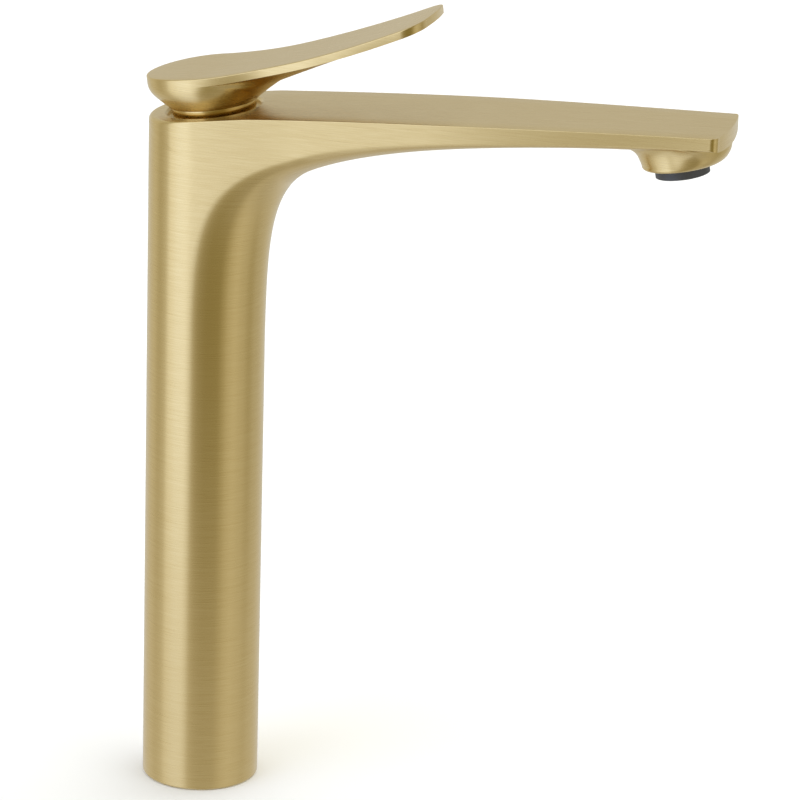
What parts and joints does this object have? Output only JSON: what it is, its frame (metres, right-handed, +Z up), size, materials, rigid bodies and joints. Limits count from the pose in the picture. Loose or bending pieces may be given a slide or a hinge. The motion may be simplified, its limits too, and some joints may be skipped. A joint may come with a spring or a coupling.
{
  "type": "basin mixer faucet",
  "caption": "Tall single-lever basin mixer: round column, long flat-topped spout with a sloping outlet, blade lever over a tilted cartridge, hose inlets and stud holes in the foot.",
  "frame": {"origin": "centre of the column's foot, on the face that rests on the basin deck", "axes": "+Z up along the column, +X along the spout towards its outlet, +Y to the right of someone who stands at the spout's end looking back at the column"},
  "size_m": [0.249, 0.05, 0.3495],
  "materials": {
    "brushed_gold": "brushed gold PVD coating over brass",
    "polished_gold": "polished gold PVD coating over brass",
    "raw_brass": "machined, uncoated",
    "steel": "turned stainless steel",
    "disc_ceramic": "lapped alumina",
    "white_plastic": "moulded acetal",
    "grey_plastic": "moulded, dark grey",
    "blue_plastic": "moulded acetal",
    "red_plastic": "moulded",
    "black_rubber": "moulded nitrile",
    "red_rubber": "moulded silicone"
  },
  "bodies": {
    "body": {"column_tube": "brushed_gold", "spout_head": "brushed_gold", "base_socket": "raw_brass", "base_gasket": "black_rubber", "cartridge_nut": "raw_brass", "dome_ring": "polished_gold", "dome_o_ring": "black_rubber", "cartridge_housing": "white_plastic", "cartridge_base": "grey_plastic", "port_seals": "red_rubber", "fixed_disc": "disc_ceramic", "hot_limit_ring": "red_plastic", "aerator_housing": "grey_plastic", "aerator_insert": "white_plastic", "aerator_screen": "steel", "aerator_gasket": "black_rubber"},
    "turntable": {"stem_carrier": "grey_plastic", "carrier_o_ring": "black_rubber", "stem_pin": "steel"},
    "lever": {"handle": "brushed_gold", "stem": "steel", "grub_screw": "steel", "index_plug": "red_plastic"},
    "disc": {"moving_disc": "disc_ceramic", "disc_driver": "blue_plastic"}
  },
  "joints": [
    {"name": "handle_turn", "type": "hinge", "parent": "body", "child": "turntable", "pos_m": [0.0023, 0, 0.2995], "axis": [-0.1426, 0, 0.9898], "range_deg": [-45, 45]},
    {"name": "handle_lift", "type": "hinge", "parent": "turntable", "child": "lever", "pos_m": [0.00194, 0, 0.30197], "axis": [0, -1, 0], "range_deg": [0, 11]},
    {"name": "disc_slide", "type": "slide", "parent": "turntable", "child": "disc", "axis": [0.9898, 0, 0.1426], "range_m": [0, 0.00258]}
  ],
  "couplings": [
    {"joint": "disc_slide", "follows": "handle_lift", "m_per_rad": 0.0134}
  ]
}
